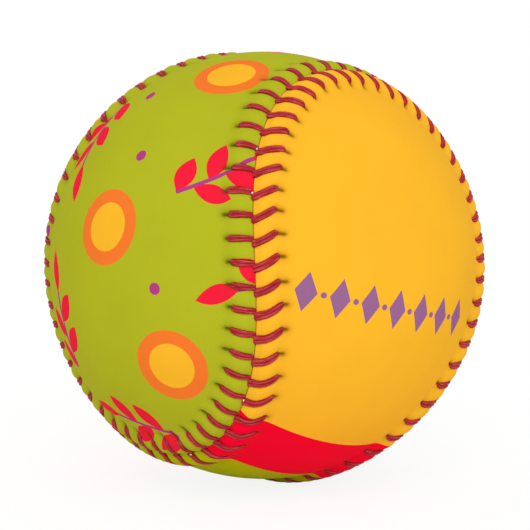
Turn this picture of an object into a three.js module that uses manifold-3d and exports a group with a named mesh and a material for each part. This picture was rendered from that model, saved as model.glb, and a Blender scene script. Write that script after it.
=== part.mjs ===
// Baseball: a cork and rubber core, four yarn windings, two figure-eight leather covers and the
// two strands of red lacing that sew the covers together with 108 double stitches.
// Millimetres. The origin is the centre of the ball, +Z is up and -Y faces the viewer.
import * as THREE from "three";
import { mergeVertices } from "three/addons/utils/BufferGeometryUtils.js";
import Module from "manifold-3d";

const wasm = await Module();
wasm.setup();

// Core, from the centre outwards
const CORK_RADIUS = 10.3;
const BLACK_RUBBER_WALL = 3.7;
const RED_RUBBER_WALL = 2.1;
const LAYER_GAP = 0.3;
const PARTING_GAP = 0.3;
const WASHER_WIDTH = 1.2;
const WASHER_THICKNESS = 1.1;
const WASHER_CLEARANCE = 0.3;

// Yarn windings, from the core outwards, and the opening where each yarn's end is tucked in
const FOUR_PLY_GREY_DEPTH = 14.0;
const THREE_PLY_WHITE_DEPTH = 1.4;
const THREE_PLY_GREY_DEPTH = 1.6;
const FINISHING_YARN_DEPTH = 0.5;
const TUCK_OPENING = 2.5;

// Leather covers
const LEATHER_THICKNESS = 1.25;
const COVER_SEAT_GAP = 0.45;
const SEAM_GROOVE_WIDTH = 0.4;
const SEAM_GROOVE_DROP = 0.2;
const PILLOW_HEIGHT = 0.22;
const PILLOW_DISTANCE = 2.0;
const PILLOW_LAG = 0.85;
const RIDGE_FOOT = 7.4;
const COVER_FACET = 5.5;

// Seam line: how wide each cover is at its neck, measured over the leather, and how far in degrees
// the seam slants where it passes from one cover's neck to its lobe
const NECK_WIDTH = 27.76;
const SEAM_SLANT = 14.77;
const STITCH_PAIR_COUNT = 54;

// Lacing thread, waxed and pressed flat, in real widths and thicknesses
const THREAD_WIDTH = 0.9;
const THREAD_THICKNESS = 0.5;
const DIVE_WIDTH = 0.5;
const TUCKED_THICKNESS = 0.45;
const THREAD_CLEARANCE = 0.2;
const HOLE_DISTANCE = 4.35;
const HOLE_SLACK_ACROSS = 0.7;
const HOLE_SLACK_ALONG = 0.6;

// How far behind the tip of its V a thread passes its hole, and dives at the seam
const LEFT_HOLE_LAG = 1.07;
const RIGHT_HOLE_LAG = 1.65;
const LEFT_DIVE_LAG = 1.1;
const RIGHT_DIVE_LAG = 0;

// The strand's two ends, left under the leather
const STARTING_TAIL = 2.2;
const ENDING_TAIL = 1.0;

// How the ball lies: angles of the front of the seam, in degrees
const SEAM_LEAN = 11.78;
const FRONT_TILT = 10.25;
const FRONT_TURN = -2.16;

// Radii that follow from the walls, depths and gaps
const BLACK_INNER = CORK_RADIUS + LAYER_GAP;
const BLACK_OUTER = BLACK_INNER + BLACK_RUBBER_WALL;
const RED_INNER = BLACK_OUTER + LAYER_GAP;
const RED_OUTER = RED_INNER + RED_RUBBER_WALL;
const WINDING_1_OUTER = RED_OUTER + LAYER_GAP + FOUR_PLY_GREY_DEPTH;
const WINDING_2_OUTER = WINDING_1_OUTER + LAYER_GAP + THREE_PLY_WHITE_DEPTH;
const WINDING_3_OUTER = WINDING_2_OUTER + LAYER_GAP + THREE_PLY_GREY_DEPTH;
const WINDING_4_OUTER = WINDING_3_OUTER + LAYER_GAP + FINISHING_YARN_DEPTH;
const COVER_INNER = WINDING_4_OUTER + COVER_SEAT_GAP;
const COVER_OUTER = COVER_INNER + LEATHER_THICKNESS;

// The thread tucked under the leather lifts it along the seam
const SEAM_RAISE = TUCKED_THICKNESS + 2 * THREAD_CLEARANCE - COVER_SEAT_GAP;
const TUCKED_RADIUS = WINDING_4_OUTER + THREAD_CLEARANCE + TUCKED_THICKNESS / 2;
const LEG_RADIUS = COVER_OUTER + SEAM_RAISE + THREAD_CLEARANCE + THREAD_THICKNESS / 2;
const STITCHES = 2 * STITCH_PAIR_COUNT;

// Each notch in a cover's edge lets two strands dive side by side
const NOTCH_REACH = THREAD_THICKNESS / 2 + 2 * THREAD_CLEARANCE;
const NOTCH_LAG = (LEFT_DIVE_LAG + RIGHT_DIVE_LAG) / 2;
const HOLE_ACROSS = THREAD_THICKNESS + HOLE_SLACK_ACROSS;
const HOLE_ALONG = THREAD_WIDTH + HOLE_SLACK_ALONG;

// The two numbers that shape the seam's curve, from its neck and its slant
const NECK_SLOPE = Math.tan(NECK_WIDTH / 2 / COVER_OUTER);
const SLANT_SLOPE = Math.tan(THREE.MathUtils.degToRad(SEAM_SLANT));
const SEAM_RISE = 2 / (3 * NECK_SLOPE + 2 * SLANT_SLOPE);
const SEAM_LOBE = 1 - SEAM_RISE * NECK_SLOPE;

// Facet counts: every layer inside has its facets in the same directions, so the gaps stay even
const BALL_SEGMENTS = 16;
const ARC_STEPS = 4;
const SEAM_DIVISIONS = 2400;

// The search for the least gap: samples on each run, and how many runs along the thread it looks
const GAP_SAMPLE_STEPS = 6;
const GAP_RUN_COUNT = 12;

// The seam as a closed curve on the unit ball. It starts at the middle of a lobe's end.
class SeamCurve extends THREE.Curve {
  constructor() {
    super();
    this.arcLengthDivisions = SEAM_DIVISIONS;
  }

  getPoint(fraction, target = new THREE.Vector3()) {
    const turn = 2 * Math.PI * fraction + Math.PI / 4;
    target.set(
      Math.sin(turn) - SEAM_LOBE * Math.sin(3 * turn),
      Math.cos(turn) + SEAM_LOBE * Math.cos(3 * turn),
      -SEAM_RISE * Math.sin(2 * turn)
    );
    return target.normalize();
  }
}

const seam = new SeamCurve();

// The place and directions of the seam at a station, counted in stitches
function seamFrame(station) {
  const fraction = THREE.MathUtils.euclideanModulo(station / STITCHES, 1);
  const out = seam.getPointAt(fraction);
  const along = seam.getTangentAt(fraction);
  along.addScaledVector(out, -along.dot(out)).normalize();
  const across = new THREE.Vector3().crossVectors(out, along);
  return { out, along, across };
}

// Direction from the centre to a place at a distance to the side of the seam, along the surface
function besideSeam(station, distance) {
  const { out, across } = seamFrame(station);
  const angle = distance / COVER_OUTER;
  return out.multiplyScalar(Math.cos(angle)).addScaledVector(across, Math.sin(angle));
}

const STATION_LENGTH = (seam.getLength() * COVER_OUTER) / STITCHES;

// Closed solids from three.js geometry, and back

function weld(geometry) {
  const plain = geometry.clone();
  plain.deleteAttribute("normal");
  plain.deleteAttribute("uv");
  const merged = mergeVertices(plain);
  const corners = merged.index.array;
  const kept = [];
  for (let i = 0; i < corners.length; i += 3) {
    const [a, b, c] = [corners[i], corners[i + 1], corners[i + 2]];
    if (a !== b && b !== c && c !== a) {
      kept.push(a, b, c);
    }
  }
  merged.setIndex(kept);
  return merged;
}

function toSolid(geometry) {
  const merged = weld(geometry);
  return new wasm.Manifold(
    new wasm.Mesh({
      numProp: 3,
      vertProperties: new Float32Array(merged.attributes.position.array),
      triVerts: new Uint32Array(merged.index.array),
    })
  );
}

function toGeometry(solid) {
  const mesh = solid.getMesh();
  const geometry = new THREE.BufferGeometry();
  geometry.setAttribute("position", new THREE.BufferAttribute(mesh.vertProperties, 3));
  geometry.setIndex(new THREE.BufferAttribute(mesh.triVerts, 1));
  return geometry;
}

const root = new THREE.Group();

// The ball lies with the front of the seam tilted and leaning as in a hand-placed ball
const ball = new THREE.Group();
ball.rotation.set(
  THREE.MathUtils.degToRad(-FRONT_TILT),
  THREE.MathUtils.degToRad(SEAM_LEAN),
  THREE.MathUtils.degToRad(FRONT_TURN),
  "ZXY"
);
root.add(ball);

function addPart(name, geometry, color, roughness) {
  const material = new THREE.MeshStandardMaterial({ color, roughness, metalness: 0 });
  geometry.computeVertexNormals();
  const mesh = new THREE.Mesh(geometry, material);
  mesh.name = name;
  ball.add(mesh);
}

// Core: cork ball, two black half shells with a washer in their joint, and two red half shells

function arcPoints(radius, from, to) {
  const points = [];
  for (let step = 0; step <= ARC_STEPS; step += 1) {
    const angle = THREE.MathUtils.lerp(from, to, step / ARC_STEPS);
    points.push(new THREE.Vector2(radius * Math.cos(angle), radius * Math.sin(angle)));
  }
  return points;
}

// A moulded half shell, dome up, with its rim just clear of the parting plane
function halfShell(inner, outer, rimPoints) {
  const rimHeight = PARTING_GAP / 2;
  const profile = [
    ...arcPoints(inner, Math.PI / 2, Math.asin(rimHeight / inner)),
    ...rimPoints,
    ...arcPoints(outer, Math.asin(rimHeight / outer), Math.PI / 2),
  ];
  profile[0].x = 0;
  profile[profile.length - 1].x = 0;
  return new THREE.LatheGeometry(profile, BALL_SEGMENTS).rotateX(Math.PI / 2);
}

const WASHER_MIDDLE = (BLACK_INNER + BLACK_OUTER) / 2;

function washerGroove() {
  const inner = WASHER_MIDDLE - WASHER_WIDTH / 2 - WASHER_CLEARANCE;
  const outer = WASHER_MIDDLE + WASHER_WIDTH / 2 + WASHER_CLEARANCE;
  const floor = WASHER_THICKNESS / 2 + WASHER_CLEARANCE;
  return [
    new THREE.Vector2(inner, PARTING_GAP / 2),
    new THREE.Vector2(inner, floor),
    new THREE.Vector2(outer, floor),
    new THREE.Vector2(outer, PARTING_GAP / 2),
  ];
}

function washer() {
  const inner = WASHER_MIDDLE - WASHER_WIDTH / 2;
  const outer = WASHER_MIDDLE + WASHER_WIDTH / 2;
  const half = WASHER_THICKNESS / 2;
  const profile = [
    new THREE.Vector2(inner, -half),
    new THREE.Vector2(outer, -half),
    new THREE.Vector2(outer, half),
    new THREE.Vector2(inner, half),
    new THREE.Vector2(inner, -half),
  ];
  return new THREE.LatheGeometry(profile, BALL_SEGMENTS).rotateX(Math.PI / 2);
}

function facetedBall(radius) {
  return new THREE.SphereGeometry(radius, BALL_SEGMENTS, 2 * ARC_STEPS).rotateX(Math.PI / 2);
}

const blackShell = halfShell(BLACK_INNER, BLACK_OUTER, washerGroove());
const redShell = halfShell(RED_INNER, RED_OUTER, []);

addPart("cork_core", weld(facetedBall(CORK_RADIUS)), 0xa9794a, 0.9);
addPart("black_rubber_shell_upper", weld(blackShell), 0x1d1d1f, 0.7);
addPart("black_rubber_shell_lower", weld(blackShell.clone().rotateX(Math.PI)), 0x1d1d1f, 0.7);
addPart("red_rubber_washer", weld(washer()), 0xb22a26, 0.6);
addPart("red_rubber_shell_upper", weld(redShell), 0xb8352f, 0.6);
addPart("red_rubber_shell_lower", weld(redShell.clone().rotateX(Math.PI)), 0xb8352f, 0.6);

// Windings: each a wound ball of yarn round the last, with the small opening of its tucked end

function winding(inner, outer, tuckAngle) {
  const tuck = new THREE.BoxGeometry(outer, TUCK_OPENING, TUCK_OPENING);
  tuck.translate(outer, 0, 0).rotateZ(tuckAngle);
  const shell = toSolid(facetedBall(outer)).subtract(toSolid(facetedBall(inner)));
  return toGeometry(shell.subtract(toSolid(tuck)));
}

const windings = [
  { name: "winding_1_grey", inner: RED_OUTER, outer: WINDING_1_OUTER, color: 0x8b8a86 },
  { name: "winding_2_white", inner: WINDING_1_OUTER, outer: WINDING_2_OUTER, color: 0xe9e4d8 },
  { name: "winding_3_grey", inner: WINDING_2_OUTER, outer: WINDING_3_OUTER, color: 0x9a9893 },
  { name: "winding_4_finish", inner: WINDING_3_OUTER, outer: WINDING_4_OUTER, color: 0xf1efe8 },
];
windings.forEach(({ name, inner, outer, color }, index) => {
  addPart(name, winding(inner + LAYER_GAP, outer, (index * Math.PI) / 2), color, 0.95);
});

// Meshes joined row by row

// Joins two rows of points by triangles, each row in step with the other's share of the way
function zip(rowA, rowB, triangles) {
  const stepsA = rowA.length - 1;
  const stepsB = rowB.length - 1;
  let a = 0;
  let b = 0;
  while (a < stepsA || b < stepsB) {
    const advanceA = b === stepsB || (a < stepsA && (a + 1) * stepsB <= (b + 1) * stepsA);
    if (advanceA) {
      triangles.push(rowA[a], rowA[a + 1], rowB[b]);
      a += 1;
    } else {
      triangles.push(rowA[a], rowB[b + 1], rowB[b]);
      b += 1;
    }
  }
}

// A geometry whose faces all point out, whichever way its rows ran
function closedGeometry(points, triangles) {
  let volume = 0;
  for (let i = 0; i < triangles.length; i += 3) {
    const [a, b, c] = [points[triangles[i]], points[triangles[i + 1]], points[triangles[i + 2]]];
    volume += a.dot(new THREE.Vector3().crossVectors(b, c));
  }
  if (volume < 0) {
    triangles.reverse();
  }
  const geometry = new THREE.BufferGeometry().setFromPoints(points);
  geometry.setIndex(triangles);
  return geometry;
}

// Covers: loops of points run round each figure-eight piece from its sewn edge inwards, and ribs
// cross its middle from side to side. The awl holes are open cells between two of the loops.

function behind(station, lag) {
  return station - lag / STATION_LENGTH;
}

function holeStation(station, side) {
  return behind(station, side > 0 ? RIGHT_HOLE_LAG : LEFT_HOLE_LAG);
}

function diveStation(station, side) {
  return behind(station, side > 0 ? RIGHT_DIVE_LAG : LEFT_DIVE_LAG);
}

function coverShell(side, tipStation) {
  const points = [];

  function addPoint(direction, radius) {
    points.push(direction.clone().multiplyScalar(radius));
    return points.length - 1;
  }

  // Points in turn round the cover, with so many a stitch; place gives station, distance, radius
  function loop(count, place) {
    const row = [];
    for (let i = 0; i < count; i += 1) {
      const { shift = 0, distance, radius } = place(i % 2 === 0);
      const station = tipStation + (i * STITCHES) / count + shift;
      row.push(addPoint(besideSeam(station, side * distance), radius));
    }
    row.push(row[0]);
    return row;
  }

  // The edge is notched where the strands dive, and nearly meets the other cover between them
  function edgeLoop(radius) {
    return loop(2 * STITCHES, (atStitch) => ({
      shift: behind(0, NOTCH_LAG),
      distance: atStitch ? NOTCH_REACH : SEAM_GROOVE_WIDTH / 2,
      radius,
    }));
  }

  // The leather swells between one leg of the lacing and the next
  function pillowLoop() {
    return loop(2 * STITCHES, (atStitch) => ({
      shift: behind(0, PILLOW_LAG),
      distance: PILLOW_DISTANCE,
      radius: COVER_OUTER + SEAM_RAISE + (atStitch ? 0 : PILLOW_HEIGHT),
    }));
  }

  // The near or far edges of the holes: each point is a hole's end or the start of the next
  function holeLoop(distance, radius) {
    const half = HOLE_ALONG / 2 / STATION_LENGTH;
    const lag = holeStation(0, side);
    return loop(2 * STITCHES, (atStitch) => ({
      shift: lag + (atStitch ? half : 0.5 - half),
      distance,
      radius,
    }));
  }

  function footLoop(radius) {
    return loop(STITCH_PAIR_COUNT, () => ({ distance: RIDGE_FOOT, radius }));
  }

  function rib(start, end, radius) {
    if (start === end) {
      return [start];
    }
    const from = points[start].clone().normalize();
    const to = points[end].clone().normalize();
    const angle = from.angleTo(to);
    const steps = Math.max(1, Math.round((angle * radius) / COVER_FACET));
    const row = [start];
    for (let step = 1; step < steps; step += 1) {
      const share = step / steps;
      const direction = from.clone().multiplyScalar(Math.sin((1 - share) * angle));
      direction.addScaledVector(to, Math.sin(share * angle)).normalize();
      row.push(addPoint(direction, radius));
    }
    row.push(end);
    return row;
  }

  // One face of the leather, with the corners of the open cells that its holes leave
  function skin(raisedLoops, near, far, radius) {
    const triangles = [];
    const holes = [];
    [...raisedLoops, near].reduce((last, next) => {
      zip(last, next, triangles);
      return next;
    });
    for (let i = 0; i < 2 * STITCHES; i += 1) {
      if (i % 2 === 0) {
        zip(near.slice(i, i + 2), far.slice(i, i + 2), triangles);
      } else {
        holes.push([near[i], near[i + 1], far[i + 1], far[i]]);
      }
    }
    const foot = footLoop(radius);
    zip(far, foot, triangles);
    let lastRib = [foot[0]];
    for (let i = 1; i <= STITCH_PAIR_COUNT / 2; i += 1) {
      const nextRib = rib(foot[i], foot[STITCH_PAIR_COUNT - i], radius);
      zip(nextRib, lastRib, triangles);
      lastRib = nextRib;
    }
    return { triangles, holes };
  }

  function holeWalls(outerHoles, innerHoles) {
    const triangles = [];
    outerHoles.forEach((outer, index) => {
      const inner = innerHoles[index];
      outer.forEach((corner, i) => {
        const next = (i + 1) % outer.length;
        triangles.push(corner, outer[next], inner[next], corner, inner[next], inner[i]);
      });
    });
    return triangles;
  }

  const nearHoles = HOLE_DISTANCE - HOLE_ACROSS / 2;
  const farHoles = HOLE_DISTANCE + HOLE_ACROSS / 2;
  const raisedOuter = COVER_OUTER + SEAM_RAISE;
  const raisedInner = COVER_INNER + SEAM_RAISE;
  const outerEdge = edgeLoop(raisedOuter - SEAM_GROOVE_DROP);
  const innerEdge = edgeLoop(raisedInner);
  const outerSkin = skin(
    [outerEdge, pillowLoop()],
    holeLoop(nearHoles, raisedOuter),
    holeLoop(farHoles, raisedOuter),
    COVER_OUTER
  );
  const innerSkin = skin(
    [innerEdge],
    holeLoop(nearHoles, raisedInner),
    holeLoop(farHoles, raisedInner),
    COVER_INNER
  );
  const triangles = [
    ...outerSkin.triangles,
    ...innerSkin.triangles.reverse(),
    ...holeWalls(outerSkin.holes, innerSkin.holes),
  ];
  zip(innerEdge, outerEdge, triangles);
  return closedGeometry(points, triangles);
}

const covers = [
  { name: "cover_green", side: -1, tipStation: 0, color: 0xb8be28 },
  { name: "cover_yellow", side: 1, tipStation: Math.round(STITCHES / 4), color: 0xffbb30 },
];
for (const { name, side, tipStation, color } of covers) {
  addPart(name, coverShell(side, tipStation), color, 0.45);
}

// Lacing: each strand comes up through a hole, crosses the leather to the seam, dives between the
// covers and runs under the other cover to its next hole. The two strands take turns side by side.

function tuckedPoint(station, distance) {
  return {
    station,
    place: besideSeam(station, distance).multiplyScalar(TUCKED_RADIUS),
    width: DIVE_WIDTH,
    thickness: TUCKED_THICKNESS,
  };
}

function legPoint(station, distance, width) {
  return {
    station,
    place: besideSeam(station, distance).multiplyScalar(LEG_RADIUS),
    width,
    thickness: THREAD_THICKNESS,
  };
}

// One of the strand's two hidden ends, part of the way along a tucked run
function tailPoint(from, to, length) {
  const share = length / from.place.distanceTo(to.place);
  return { ...from, place: from.place.clone().lerp(to.place, share) };
}

function strandPath(firstSide) {
  const path = [];
  for (let station = 0; station < STITCHES; station += 1) {
    const side = station % 2 === 0 ? firstSide : -firstSide;
    const hole = holeStation(station, side);
    const dive = diveStation(station, side);
    path.push(
      tuckedPoint(hole, side * HOLE_DISTANCE),
      legPoint(hole, side * HOLE_DISTANCE, THREAD_WIDTH),
      legPoint(dive, 0, DIVE_WIDTH),
      tuckedPoint(dive, 0)
    );
  }
  const first = path[0];
  const last = path[path.length - 1];
  path.unshift(tailPoint(first, last, STARTING_TAIL));
  path.push(tailPoint(last, first, ENDING_TAIL));
  return path;
}

// The corners of a thread's flat section, in turn, as signs along its width and its thickness
const SECTION_CORNERS = [
  [1, 1],
  [-1, 1],
  [-1, -1],
  [1, -1],
];

// Sections mitred at each corner of the path. Their width stays square to the runs that lie flat.
function strandSections(path) {
  const runs = path.slice(1).map(({ place }, i) => place.clone().sub(path[i].place));
  return path.map(({ station, place, width, thickness }, i) => {
    const out = place.clone().normalize();
    const arriving = runs[Math.max(i - 1, 0)];
    const leaving = runs[Math.min(i, runs.length - 1)];
    const flatRun = i % 2 === 0 ? leaving : arriving;
    const side = new THREE.Vector3().crossVectors(out, flatRun).normalize();
    if (side.dot(seamFrame(station).along) < 0) {
      side.negate();
    }
    const normalIn = new THREE.Vector3().crossVectors(side, arriving).normalize();
    const normalOut = new THREE.Vector3().crossVectors(side, leaving).normalize();
    const mitre = normalIn.clone().add(normalOut).normalize();
    mitre.multiplyScalar(thickness / 2 / mitre.dot(normalIn));
    side.multiplyScalar(width / 2);
    return SECTION_CORNERS.map(([sideSign, mitreSign]) =>
      place.clone().addScaledVector(side, sideSign).addScaledVector(mitre, mitreSign)
    );
  });
}

function strandGeometry(sections) {
  const points = sections.flat();
  const corners = SECTION_CORNERS.length;
  const triangles = [];
  for (let i = 0; i + 1 < sections.length; i += 1) {
    const ring = [0, 1, 2, 3, 0].map((corner) => corners * i + corner);
    zip(ring, ring.map((corner) => corner + corners), triangles);
  }
  const end = points.length - corners;
  triangles.push(2, 1, 0, 3, 2, 0);
  triangles.push(end, end + 1, end + 2, end, end + 2, end + 3);
  return closedGeometry(points, triangles);
}

const strands = [
  { name: "stitch_thread_a", firstSide: 1 },
  { name: "stitch_thread_b", firstSide: -1 },
];
for (const strand of strands) {
  strand.sections = strandSections(strandPath(strand.firstSide));
  addPart(strand.name, strandGeometry(strand.sections), 0xb8283f, 0.6);
}

// The least gap between the runs of the lacing, on points spread over their surfaces

function runPoints(sections, run) {
  const points = [];
  for (let step = 0; step <= GAP_SAMPLE_STEPS; step += 1) {
    const corners = sections[run].map((corner, i) =>
      corner.clone().lerp(sections[run + 1][i], step / GAP_SAMPLE_STEPS)
    );
    corners.forEach((corner, i) => {
      points.push(corner, corner.clone().lerp(corners[(i + 1) % corners.length], 0.5));
    });
  }
  return points;
}

function leastGap(sectionsA, sectionsB, firstApart) {
  const runsA = sectionsA.slice(1).map((_, run) => runPoints(sectionsA, run));
  const runsB = sectionsB.slice(1).map((_, run) => runPoints(sectionsB, run));
  let least = Infinity;
  runsA.forEach((pointsA, a) => {
    for (let apart = firstApart; apart <= GAP_RUN_COUNT; apart += 1) {
      for (const b of [(a + apart) % runsB.length, (a - apart + runsB.length) % runsB.length]) {
        for (const point of pointsA) {
          for (const other of runsB[b]) {
            least = Math.min(least, point.distanceTo(other));
          }
        }
      }
    }
  });
  return least;
}

const [sectionsA, sectionsB] = strands.map((strand) => strand.sections);
const ownGap = leastGap(sectionsA, sectionsA, 2);
const sharedGap = leastGap(sectionsA, sectionsB, 0);
console.log(`least gap of a strand to itself: ${ownGap.toFixed(2)} mm`);
console.log(`least gap between the strands: ${sharedGap.toFixed(2)} mm`);

export default root;
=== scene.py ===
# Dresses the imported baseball: two printed leather covers with their sewn ridge, the two strands
# of waxed lacing that sew them together, and finishes for the windings, rubber and cork inside.
import math

import bmesh
import bpy
import numpy as np
from mathutils import Matrix, Vector


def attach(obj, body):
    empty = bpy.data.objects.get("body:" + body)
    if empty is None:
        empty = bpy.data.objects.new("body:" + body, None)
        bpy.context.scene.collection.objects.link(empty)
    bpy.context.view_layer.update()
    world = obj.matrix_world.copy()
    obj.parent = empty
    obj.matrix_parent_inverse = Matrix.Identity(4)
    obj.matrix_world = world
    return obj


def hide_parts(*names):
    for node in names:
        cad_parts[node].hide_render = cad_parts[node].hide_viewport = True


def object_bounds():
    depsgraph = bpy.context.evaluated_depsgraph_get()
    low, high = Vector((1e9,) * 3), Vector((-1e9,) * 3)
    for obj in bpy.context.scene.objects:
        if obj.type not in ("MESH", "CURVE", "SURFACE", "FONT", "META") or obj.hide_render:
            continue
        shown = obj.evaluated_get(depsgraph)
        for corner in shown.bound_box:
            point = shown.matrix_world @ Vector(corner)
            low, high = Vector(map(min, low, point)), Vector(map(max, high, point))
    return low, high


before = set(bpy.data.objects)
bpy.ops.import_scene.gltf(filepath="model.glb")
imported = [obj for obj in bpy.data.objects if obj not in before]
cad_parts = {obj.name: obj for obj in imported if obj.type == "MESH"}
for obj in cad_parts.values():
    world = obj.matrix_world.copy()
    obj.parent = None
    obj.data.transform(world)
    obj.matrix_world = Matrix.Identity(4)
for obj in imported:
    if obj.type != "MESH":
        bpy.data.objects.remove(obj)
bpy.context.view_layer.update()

MM = 0.001

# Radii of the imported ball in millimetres: the smooth leather, its inner side, the thread under it
COVER_RADIUS = 37.1
COVER_INNER = 35.85
TUCKED_RADIUS = 35.825

# The seam: how its curve winds round the ball, and how the ball lies
STITCHES = 108
SEAM_LOBE = 0.5395
SEAM_RISE = 1.1731
SEAM_LEAN = 11.78
FRONT_TILT = -10.25
FRONT_TURN = -2.16

# Signs for the two sides of the seam
YELLOW_SIDE = 1
GREEN_SIDE = -1


# How the ball lies

def ball_turn():
    turn = Matrix.Rotation(math.radians(FRONT_TURN), 3, "Z")
    turn = turn @ Matrix.Rotation(math.radians(FRONT_TILT), 3, "X")
    return turn @ Matrix.Rotation(math.radians(SEAM_LEAN), 3, "Y")


BALL_TURN = np.array(ball_turn())


def unit(vectors):
    return vectors / np.linalg.norm(vectors, axis=-1, keepdims=True)


# The seam as a closed curve on the unit ball, and its stations counted in stitches

def seam_at_turn(turn):
    turn = turn + math.pi / 4
    points = np.stack([
        np.sin(turn) - SEAM_LOBE * np.sin(3 * turn),
        np.cos(turn) + SEAM_LOBE * np.cos(3 * turn),
        -SEAM_RISE * np.sin(2 * turn),
    ], axis=-1)
    return unit(points) @ BALL_TURN.T


SEAM_SAMPLES = 7201
SEAM_TURNS = np.linspace(0, 2 * math.pi, SEAM_SAMPLES)
SEAM_STEPS = np.linalg.norm(np.diff(seam_at_turn(SEAM_TURNS), axis=0), axis=1)
SEAM_LENGTHS = np.concatenate([[0], np.cumsum(SEAM_STEPS)])
PITCH = SEAM_LENGTHS[-1] * COVER_RADIUS / STITCHES
SMALL_TURN = 1e-4


# The directions out from the centre, along the seam and across it, at each station
def seam_frame(stations):
    share = np.mod(stations, STITCHES) / STITCHES
    turn = np.interp(share * SEAM_LENGTHS[-1], SEAM_LENGTHS, SEAM_TURNS)
    out = seam_at_turn(turn)
    along = seam_at_turn(turn + SMALL_TURN) - seam_at_turn(turn - SMALL_TURN)
    along = unit(along - out * np.sum(along * out, axis=-1, keepdims=True))
    return out, along, np.cross(out, along)


# Directions from the centre to places beside the seam, with distances signed by the side
def beside_seam(stations, distances):
    out, along, across = seam_frame(stations)
    angle = np.asarray(distances)[..., None] / COVER_RADIUS
    return out * np.cos(angle) + across * np.sin(angle)


def ease(value, start, end):
    share = np.clip((value - start) / (end - start), 0, 1)
    return share * share * (3 - 2 * share)


# How far the holes stand from the seam
HOLE_DISTANCE = 3.78

# The lacing's legs, as seen from above: how far along the seam a leg's middle lies from the tip
# of its V, at the seam and at the hole, and the share of that way that it goes evenly, while the
# rest is a bend
LEG_AT_SEAM = {YELLOW_SIDE: 0.0, GREEN_SIDE: -0.8}
LEG_AT_HOLE = {YELLOW_SIDE: -1.65, GREEN_SIDE: -1.15}
LEG_STRAIGHT = 0.35

# The crease that runs on past the hole: how steeply and for how far it slants along the seam, and
# how far from the seam it ends. The seam turns most at the four lobe tips, a quarter of it apart,
# and there the green cover's creases are longer and more aslant, and the yellow cover's shorter.
CREASE_SLOPE = {YELLOW_SIDE: 0.1, GREEN_SIDE: 0.05}
CREASE_SLANTS_FOR = 1.5
CREASE_END = {YELLOW_SIDE: 5.2, GREEN_SIDE: 5.45}
MORE_SLOPE_AT_TIPS = {YELLOW_SIDE: 0.0, GREEN_SIDE: 0.15}
LONGER_AT_TIPS = {YELLOW_SIDE: -0.2, GREEN_SIDE: 0.2}
SEAM_TURNING = np.cos(8 * math.pi * np.arange(STITCHES) / STITCHES)

# The mesh follows these lines up to one distance from the seam, and by another it is even
LINE_HOLDS = 6.5
LINE_FADES = 11.5

# Hand stitching: how far each hole, crease and tip of a V strays, and each leg's share of width
HOLE_STRAYS_ALONG = 0.17
HOLE_STRAYS_ACROSS = 0.38
CREASE_STRAYS = {YELLOW_SIDE: 0.25, GREEN_SIDE: 0.3}
TIP_STRAYS = 0.10
WIDTH_SHARES = (1.04, 1.22)

SEED = 20
rng = np.random.default_rng(SEED)
SIDES = (YELLOW_SIDE, GREEN_SIDE)


def strays(most):
    return rng.uniform(-most, most, STITCHES)


HOLE_DRIFT = {side: strays(HOLE_STRAYS_ALONG) for side in SIDES}
HOLE_PLACE = {side: HOLE_DISTANCE + strays(HOLE_STRAYS_ACROSS) for side in SIDES}
CREASE_DRIFT = {side: strays(CREASE_STRAYS[side]) for side in SIDES}
LEG_WIDTH = {side: rng.uniform(*WIDTH_SHARES, STITCHES) for side in SIDES}
TIP_DRIFT = strays(TIP_STRAYS)

CREASE_PLACE = {
    side: CREASE_END[side] + CREASE_DRIFT[side] + LONGER_AT_TIPS[side] * SEAM_TURNING
    for side in SIDES
}
CREASE_WAY = {
    side: CREASE_SLOPE[side] + MORE_SLOPE_AT_TIPS[side] * SEAM_TURNING for side in SIDES
}


# The value of the stitch at a station, blended between one stitch and the next
def by_stitch(values, stations):
    low = np.floor(stations).astype(int)
    share = stations - low
    return values[low % STITCHES] * (1 - share) + values[(low + 1) % STITCHES] * share


# How far along the seam a leg, or the crease past its hole, lies from the tip of its V
def leg_line(side, stations, distance):
    hole = by_stitch(HOLE_PLACE[side], stations)
    share = np.clip(distance / hole, 0, 1)
    bend = LEG_STRAIGHT * share + (1 - LEG_STRAIGHT) * share ** 2
    line = LEG_AT_SEAM[side] + (LEG_AT_HOLE[side] - LEG_AT_SEAM[side]) * bend
    past = np.clip(distance - hole, 0, CREASE_SLANTS_FOR)
    line = line + by_stitch(CREASE_WAY[side], stations) * past
    drift = by_stitch(TIP_DRIFT, stations) * (1 - share)
    drift = drift + by_stitch(HOLE_DRIFT[side], stations) * share
    return (line + drift) * (1 - ease(distance, LINE_HOLDS, LINE_FADES))


# The leather's height over the smooth ball: low at the seam, highest between the seam and the
# holes, and down to the smooth ball past the holes. The cut edge rolls down into the seam.
EDGE_RISE = 0.42
CREST_RISE = {YELLOW_SIDE: 1.06, GREEN_SIDE: 0.80}
CREST_START = 1.7
CREST_END = 1.9
RIDGE_FOOT = 5.7
EDGE_ROLL = 0.34
EDGE_DROP = 0.30

# It swells between one leg and the next, to a share of the full swelling at the seam itself. The
# power draws the swelling in towards the middle between the legs.
PILLOW = 0.40
PILLOW_AT_SEAM = 0.7
PILLOW_POWER = 1.5
PILLOW_START = 2.6
PILLOW_FOOT = 6.4

# The furrow that a leg presses in, the pit at its hole, and past it the crease in a shallow fold.
# STARTS are places from the hole, and FADES from the crease's end, or for the furrow the hole.
FURROW = 0.22
FURROW_WIDTH = 0.66
FURROW_DEEP_BY = 0.5
FURROW_FADES = (-0.4, 0.6)
PIT_DEPTH = 0.5
PIT_SIZE = 0.36
CREASE_DEPTH = 0.40
CREASE_WIDTH = 0.36
CREASE_STARTS = (-0.3, 0.0)
CREASE_FADES = (-0.7, 0.2)
FOLD_DEPTH = 0.16
FOLD_WIDTH = 0.85
FOLD_STARTS = (-0.4, 0.3)
FOLD_FADES = (-0.6, 0.9)

# How dark the shallow fold is painted beside its crease
FOLD_SHADE = 0.28


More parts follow.
